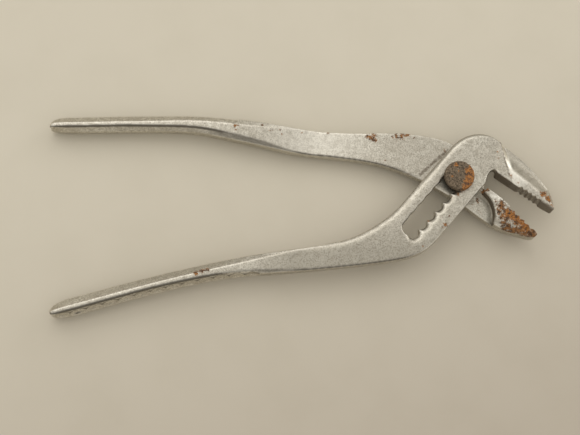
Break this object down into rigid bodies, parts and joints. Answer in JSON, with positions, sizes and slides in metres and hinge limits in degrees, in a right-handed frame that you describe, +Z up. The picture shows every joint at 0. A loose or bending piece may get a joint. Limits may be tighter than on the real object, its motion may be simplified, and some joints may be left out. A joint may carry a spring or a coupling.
{
  "type": "slip-joint water-pump pliers",
  "caption": "Plated steel slip-joint pliers: notched slot in the head, angled toothed jaws and two fluted handles on one pivot bolt.",
  "frame": {"origin": "on the pivot bolt's axis, at the underside of its end and nut, where the tool rests", "axes": "+X along the tool from the handles to the jaws, +Y towards the rear lever's handle, +Z up along the bolt to its head"},
  "size_m": [0.2477, 0.1015, 0.0164],
  "materials": {
    "plated_steel_front": "satin plating over a blasted forging, with rust spots",
    "plated_steel_rear": "satin plating, stained, the lower jaw rusted through",
    "rusty_bolt": "bare steel with brown and orange rust",
    "washer_steel": "dull plated",
    "nut_steel": "dull, lightly rusted"
  },
  "bodies": {
    "front_lever": {"front_lever": "plated_steel_front"},
    "slot_carriage": {"pivot_washer": "washer_steel"},
    "rear_lever": {"rear_lever": "plated_steel_rear", "pivot_bolt": "rusty_bolt", "pivot_nut": "nut_steel"}
  },
  "joints": [
    {"name": "slot_adjust", "type": "slide", "parent": "front_lever", "child": "slot_carriage", "axis": [-0.6534, -0.757, 0], "range_m": [0, 0.0366]},
    {"name": "jaw_pivot", "type": "hinge", "parent": "slot_carriage", "child": "rear_lever", "pos_m": [0, 0, 0.0088], "axis": [0, 0, -1], "range_deg": [-17, 37]}
  ]
}
